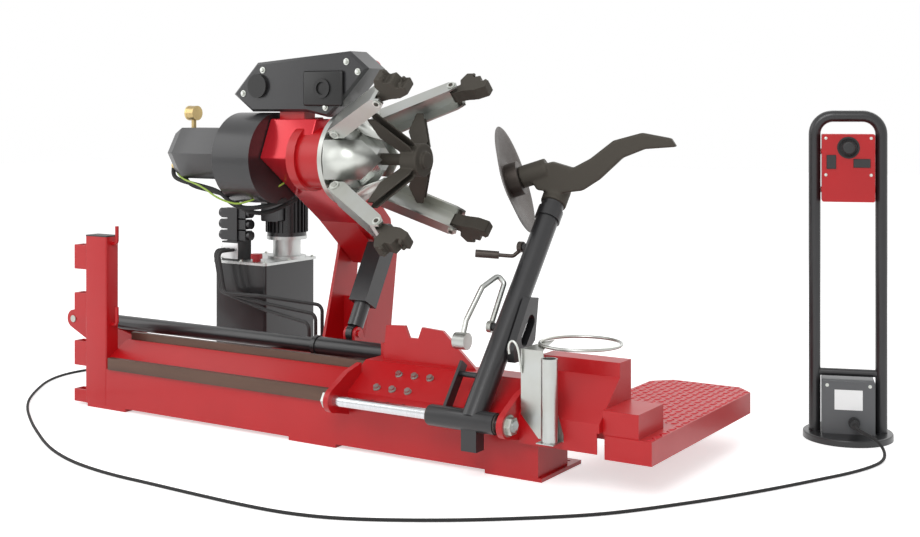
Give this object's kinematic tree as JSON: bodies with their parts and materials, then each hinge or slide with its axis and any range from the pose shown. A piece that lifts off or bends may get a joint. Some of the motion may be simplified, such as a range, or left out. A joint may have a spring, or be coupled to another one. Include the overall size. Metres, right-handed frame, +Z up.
{
  "type": "tire changer machine",
  "caption": "Heavy-duty truck tire changer: bed with rails, swinging jaw chuck, sliding carriage with tool arm, and a corded control stand.",
  "frame": {"origin": "on the floor under the bed's middle foot plate, straight below the raised spindle axis", "axes": "+X along the bed from the chuck to the tool arm, +Y away from the operator, +Z up"},
  "size_m": [3.3028, 1.872, 1.321],
  "materials": {
    "red_paint": "gloss",
    "black_paint": "satin",
    "rail_steel": "oiled",
    "zinc": "zinc plated",
    "dark_steel": "cast",
    "aluminium": "cast",
    "chrome": "turned",
    "red_plastic": "gloss",
    "black_plastic": "matt",
    "rubber": "matt",
    "brass": "plain",
    "grey_paint": "satin"
  },
  "bodies": {
    "base": {"bed_frame": "red_paint", "rails": "rail_steel", "tool_post": "red_paint", "post_cap": "black_plastic", "drive_rod_tube": "black_paint", "cross_frame": "red_paint", "pivot_pins": "zinc", "oil_tank": "black_paint", "tank_lid": "aluminium", "filler_cap": "red_plastic", "bell_housing": "aluminium", "pump_motor": "black_paint", "valve_bank": "black_paint", "hydraulic_hoses": "rubber", "lift_barrel": "black_paint", "console_base": "black_paint", "console_frame": "black_paint", "control_box": "red_paint", "junction_box": "grey_paint", "cord_glands": "black_plastic", "control_cord": "rubber"},
    "lift_sleeve": {"lift_sleeve": "black_paint"},
    "chuck_arm": {"arm_beam": "red_paint", "gearbox_casing": "black_paint", "chuck_cylinder_cover": "black_paint", "pressure_gauge": "brass", "belt_guard": "black_paint", "spindle_motor": "black_paint", "guard_rod": "red_paint"},
    "chuck": {"chuck_disc": "zinc", "hub_cover": "zinc"},
    "crosshead": {"crosshead": "dark_steel"},
    "jaw_1": {"jaw_arm_1": "zinc", "claw_1": "dark_steel"},
    "jaw_2": {"jaw_arm_2": "zinc", "claw_2": "dark_steel"},
    "jaw_3": {"jaw_arm_3": "zinc", "claw_3": "dark_steel"},
    "jaw_4": {"jaw_arm_4": "zinc", "claw_4": "dark_steel"},
    "carriage": {"carriage": "red_paint", "tent_cover": "red_paint", "drive_barrel": "black_paint", "pivot_shaft": "chrome", "carriage_bolts": "zinc", "bucket_holder": "zinc", "bucket_ring": "zinc", "bar_tube": "zinc", "platform_plate": "red_paint"},
    "bushes": {"arm_bushes": "dark_steel"},
    "tool_arm": {"tool_arm": "black_paint"},
    "release_lever": {"release_lever": "zinc"},
    "latch_lever": {"latch_lever": "dark_steel"},
    "tool_head": {"tool_head": "dark_steel"},
    "bead_disc": {"bead_disc": "dark_steel"},
    "gimbal": {"joystick_gimbal": "black_plastic"},
    "joystick": {"joystick": "black_plastic"},
    "rocker_left": {"rocker_left": "black_plastic"},
    "rocker_right": {"rocker_right": "black_plastic"}
  },
  "joints": [
    {"name": "chuck_arm_lift", "type": "hinge", "parent": "base", "child": "chuck_arm", "pos_m": [-0.19, 0.425, 0.6], "axis": [1, 0, 0], "range_deg": [0, 30]},
    {"name": "lift_sleeve_slide", "type": "slide", "parent": "base", "child": "lift_sleeve", "axis": [0, 0.4994, 0.8664], "range_m": [-0.056, 0]},
    {"name": "chuck_spin", "type": "hinge", "parent": "chuck_arm", "child": "chuck", "pos_m": [0, 0, 0.955], "axis": [1, 0, 0], "continuous": true},
    {"name": "crosshead_slide", "type": "slide", "parent": "chuck", "child": "crosshead", "axis": [1, 0, 0], "range_m": [-0.03, 0.03]},
    {"name": "jaw_1_hinge", "type": "hinge", "parent": "chuck", "child": "jaw_1", "pos_m": [0.095, -0.11667, 1.07167], "axis": [0, -0.7071, -0.7071], "range_deg": [-4, 12]},
    {"name": "jaw_2_hinge", "type": "hinge", "parent": "chuck", "child": "jaw_2", "pos_m": [0.095, -0.11667, 0.83833], "axis": [0, 0.7071, -0.7071], "range_deg": [-4, 12]},
    {"name": "jaw_3_hinge", "type": "hinge", "parent": "chuck", "child": "jaw_3", "pos_m": [0.095, 0.11667, 0.83833], "axis": [0, 0.7071, 0.7071], "range_deg": [-4, 12]},
    {"name": "jaw_4_hinge", "type": "hinge", "parent": "chuck", "child": "jaw_4", "pos_m": [0.095, 0.11667, 1.07167], "axis": [0, -0.7071, 0.7071], "range_deg": [-4, 12]},
    {"name": "carriage_slide", "type": "slide", "parent": "base", "child": "carriage", "axis": [1, 0, 0], "range_m": [-0.1, 0]},
    {"name": "tool_arm_slide", "type": "slide", "parent": "carriage", "child": "bushes", "axis": [1, 0, 0], "range_m": [-0.015, 0.012]},
    {"name": "tool_arm_swing", "type": "hinge", "parent": "bushes", "child": "tool_arm", "pos_m": [0.654, -0.235, 0.18], "axis": [1, 0, 0], "range_deg": [0, 45]},
    {"name": "release_lever_turn", "type": "hinge", "parent": "tool_arm", "child": "release_lever", "pos_m": [0.628, -0.02865, 0.43109], "axis": [1, 0, 0], "range_deg": [-6, 6]},
    {"name": "latch_lever_turn", "type": "hinge", "parent": "tool_arm", "child": "latch_lever", "pos_m": [0.628, 0.16627, 0.66827], "axis": [1, 0, 0], "range_deg": [-15, 15]},
    {"name": "tool_head_turn", "type": "hinge", "parent": "tool_arm", "child": "tool_head", "pos_m": [0.687, 0.277, 0.803], "axis": [0, 0.6349, 0.7726], "range_deg": [0, 12]},
    {"name": "bead_disc_spin", "type": "hinge", "parent": "tool_head", "child": "bead_disc", "pos_m": [0.56, 0.246, 0.886], "axis": [-0.9018, -0.3006, -0.3106], "continuous": true},
    {"name": "joystick_up_down", "type": "hinge", "parent": "base", "child": "gimbal", "pos_m": [1.50312, 0.87853, 0.993], "axis": [0.9455, 0.3256, 0], "range_deg": [-15, 15], "stiffness_Nm_per_rad": 0.6},
    {"name": "joystick_left_right", "type": "hinge", "parent": "gimbal", "child": "joystick", "pos_m": [1.50312, 0.87853, 0.993], "axis": [0, 0, 1], "range_deg": [-15, 15], "stiffness_Nm_per_rad": 0.6},
    {"name": "rocker_left_press", "type": "hinge", "parent": "base", "child": "rocker_left", "pos_m": [1.45277, 0.85273, 0.944], "axis": [0.9455, 0.3256, 0], "range_deg": [-5, 5], "stiffness_Nm_per_rad": 0.5},
    {"name": "rocker_right_press", "type": "hinge", "parent": "base", "child": "rocker_right", "pos_m": [1.54732, 0.88529, 0.94], "axis": [0, 0, 1], "range_deg": [-5, 5], "stiffness_Nm_per_rad": 0.5}
  ],
  "couplings": [
    {"joint": "lift_sleeve_slide", "follows": "chuck_arm_lift", "m_per_rad": -0.103},
    {"joint": "crosshead_slide", "follows": "jaw_1_hinge", "m_per_rad": 0.1},
    {"joint": "jaw_2_hinge", "follows": "jaw_1_hinge", "ratio": 1},
    {"joint": "jaw_3_hinge", "follows": "jaw_1_hinge", "ratio": 1},
    {"joint": "jaw_4_hinge", "follows": "jaw_1_hinge", "ratio": 1}
  ]
}
